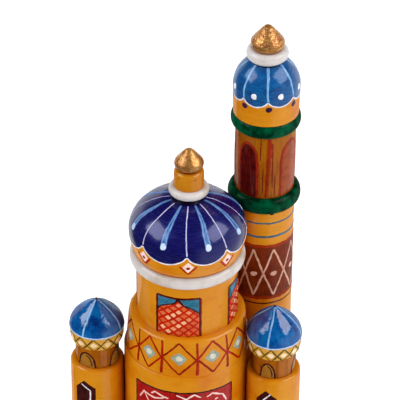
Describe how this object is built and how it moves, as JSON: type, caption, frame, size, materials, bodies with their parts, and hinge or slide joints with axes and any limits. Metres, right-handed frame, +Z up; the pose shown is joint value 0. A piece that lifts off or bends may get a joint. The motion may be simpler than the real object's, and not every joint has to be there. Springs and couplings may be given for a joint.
{
  "type": "miniature landmark model",
  "caption": "Hand-painted turned-wood souvenir of a domed building: a large petalled dome, small side towers and a tall minaret standing on a wooden board.",
  "frame": {"origin": "middle of the base board's underside, below the middle of the whole model", "axes": "+Z up along the towers, -Y towards the painted front, +X to the right seen from the front"},
  "size_m": [0.092, 0.065, 0.18],
  "materials": {
    "yellow_lacquer": "glossy yellow-orange lacquer on turned wood",
    "brown_lacquer": "glossy orange-brown lacquer on turned wood",
    "navy_lacquer": "glossy violet-navy lacquer on turned wood",
    "blue_lacquer": "glossy mid-blue lacquer on turned wood",
    "white_lacquer": "glossy off-white lacquer on turned wood",
    "green_lacquer": "glossy dark green lacquer on turned wood",
    "gold_paint": "gilt paint on turned wood",
    "red_paint": "glossy brushed red line paint",
    "crimson_paint": "glossy brushed crimson paint",
    "maroon_paint": "glossy brushed maroon paint",
    "dark_paint": "glossy brushed near-black paint",
    "cream_paint": "glossy brushed cream and pink paint",
    "light_blue_paint": "glossy brushed light-blue paint",
    "teal_paint": "glossy brushed teal and grey-blue paint",
    "olive_paint": "glossy brushed olive-brown paint",
    "bare_wood": "bare birch",
    "screw_steel": "zinc-plated steel"
  },
  "bodies": {
    "root": {"base_board": "yellow_lacquer", "base_screws": "screw_steel", "main_lower_drum": "yellow_lacquer", "main_diamond_tier": "yellow_lacquer", "main_upper_drum": "yellow_lacquer", "main_cornice_ring": "white_lacquer", "main_dome": "yellow_lacquer", "main_collar": "white_lacquer", "main_neck": "yellow_lacquer", "main_finial": "gold_paint", "main_core_dowel": "bare_wood", "minaret_shaft": "yellow_lacquer", "minaret_lower_ring": "green_lacquer", "minaret_gallery_drum": "brown_lacquer", "minaret_upper_ring": "green_lacquer", "minaret_head": "yellow_lacquer", "minaret_collar": "white_lacquer", "minaret_finial": "gold_paint", "minaret_core_dowel": "bare_wood", "left_tower_body": "yellow_lacquer", "left_tower_lantern": "brown_lacquer", "left_tower_dome": "blue_lacquer", "right_tower_body": "yellow_lacquer", "right_tower_lantern": "brown_lacquer", "right_tower_dome": "blue_lacquer"}
  },
  "joints": []
}
